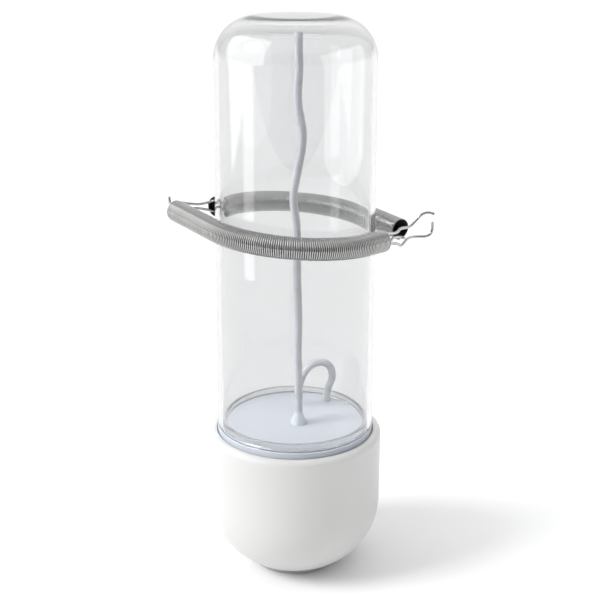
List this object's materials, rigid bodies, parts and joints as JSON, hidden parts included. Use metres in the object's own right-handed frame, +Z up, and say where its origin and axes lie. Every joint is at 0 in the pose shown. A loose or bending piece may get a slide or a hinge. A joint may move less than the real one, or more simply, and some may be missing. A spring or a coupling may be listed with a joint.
{
  "type": "poultry waterer fount",
  "caption": "Inverted clear tank on a white round-bottomed base with an air tube, a swan-neck intake, a drinker nipple in the foot and a hooked spring band.",
  "frame": {"origin": "centre of the foot's flat face, on the tank's axis", "axes": "+Z up along the tank's axis, -Y the front, +X towards the hooks"},
  "size_m": [0.1317, 0.1012, 0.2828],
  "materials": {
    "white_plastic": "satin moulded polypropylene",
    "white_rubber": "soft translucent white",
    "black_rubber": "matt",
    "screw_steel": "bright",
    "white_tubing": "semi-clear white",
    "nipple_brass": "turned",
    "clear_plastic": "clear, polished",
    "spring_steel": "plated wire"
  },
  "bodies": {
    "base": {"base_cup": "white_plastic", "foot_ring": "white_plastic", "valve_plate": "white_plastic", "tank_gasket": "white_rubber", "plate_screws": "screw_steel", "air_spigot": "white_plastic", "spigot_washer": "black_rubber", "spigot_nut": "white_plastic", "air_tube": "white_tubing", "intake_tube": "white_tubing", "intake_socket": "white_plastic", "intake_seal": "black_rubber", "inner_hose": "white_tubing", "hose_clips": "screw_steel", "nipple_body": "nipple_brass", "nipple_washer": "black_rubber", "nipple_nut": "nipple_brass", "nipple_seat": "black_rubber"},
    "trigger": {"nipple_pin": "screw_steel", "nipple_poppet": "screw_steel"},
    "tank": {"clear_tank": "clear_plastic"},
    "back_band": {"back_spring": "spring_steel", "back_hook": "spring_steel", "link_eye": "spring_steel"},
    "front_band": {"front_spring": "spring_steel", "front_hook": "spring_steel", "front_link": "spring_steel"}
  },
  "joints": [
    {"name": "tank_lift", "type": "slide", "parent": "base", "child": "tank", "axis": [0, 0, 1], "range_m": [0, 0.21]},
    {"name": "trigger_push", "type": "slide", "parent": "base", "child": "trigger", "axis": [0, 0, 1], "range_m": [0, 0.0015]},
    {"name": "band_slide", "type": "slide", "parent": "tank", "child": "back_band", "axis": [0, 0, 1], "range_m": [-0.025, 0.115]},
    {"name": "band_open", "type": "hinge", "parent": "back_band", "child": "front_band", "pos_m": [-0.05897, 0.0168, 0.18718], "axis": [-0.0724, 0, -0.9974], "range_deg": [0, 35]}
  ]
}
